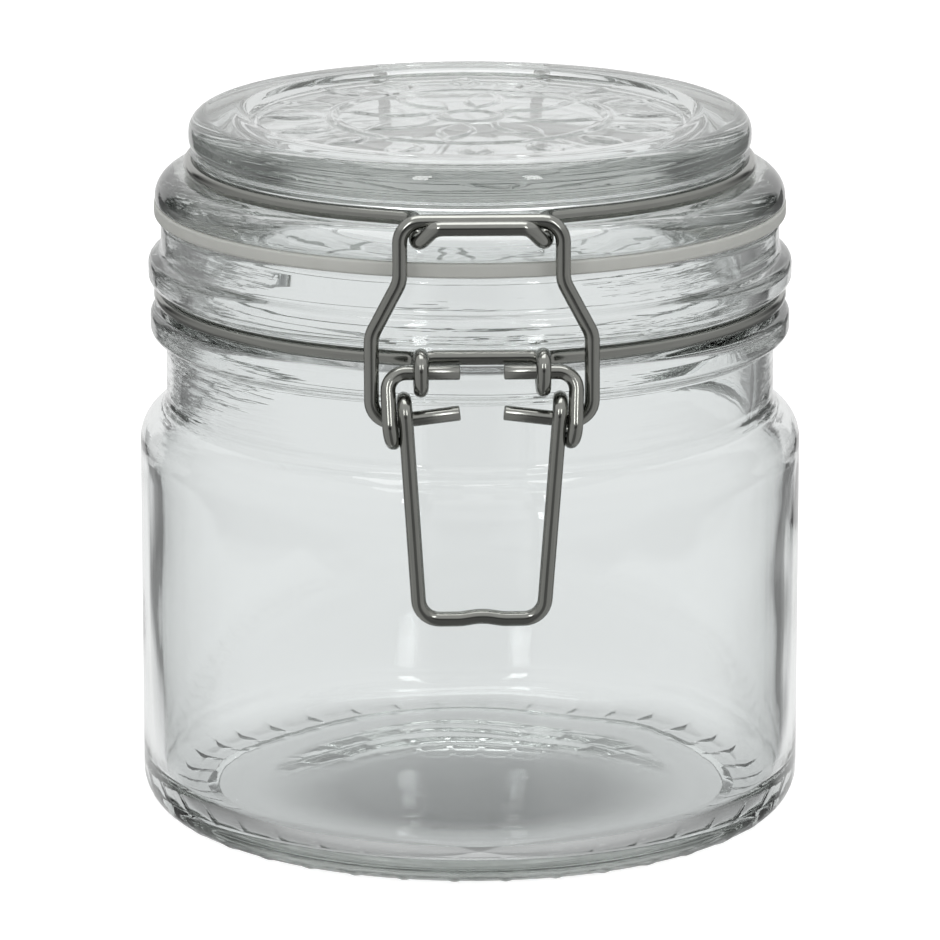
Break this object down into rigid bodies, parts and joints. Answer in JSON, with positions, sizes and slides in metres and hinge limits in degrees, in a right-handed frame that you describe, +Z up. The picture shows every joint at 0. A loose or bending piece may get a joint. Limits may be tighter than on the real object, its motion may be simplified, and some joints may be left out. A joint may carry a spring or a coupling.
{
  "type": "clip-top storage jar",
  "caption": "Squat round glass storage jar with a glass lid on a silicone gasket, held by a hinged steel wire bail and lever clasp.",
  "frame": {"origin": "centre of the base, in the plane that the jar stands on", "axes": "+Z up along the jar's axis; -Y towards the clasp, +Y towards the lid's hinge; +X to the right when the clasp faces the viewer"},
  "size_m": [0.0998, 0.1122, 0.1072],
  "materials": {
    "glass": "clear pressed soda-lime glass, fire-polished",
    "silicone": "translucent grey-white silicone, matt",
    "steel_wire": "drawn stainless wire, satin bright"
  },
  "bodies": {
    "jar": {"jar_glass": "glass", "neck_wire": "steel_wire"},
    "lid": {"lid_glass": "glass", "gasket": "silicone", "lid_wire": "steel_wire"},
    "lever": {"lever": "steel_wire"},
    "bail": {"bail": "steel_wire"}
  },
  "joints": [
    {"name": "lid_hinge", "type": "hinge", "parent": "jar", "child": "lid", "pos_m": [0, 0.0522, 0.079], "axis": [-1, 0, 0], "range_deg": [0, 110]},
    {"name": "lever_pivot", "type": "hinge", "parent": "jar", "child": "lever", "pos_m": [0, -0.0522, 0.079], "axis": [-1, 0, 0], "range_deg": [0, 100]},
    {"name": "bail_pivot", "type": "hinge", "parent": "lever", "child": "bail", "pos_m": [0, -0.0522, 0.072], "axis": [-1, 0, 0], "range_deg": [-75, 0]}
  ],
  "couplings": [
    {"joint": "bail_pivot", "follows": "lever_pivot", "ratio": -0.75}
  ]
}
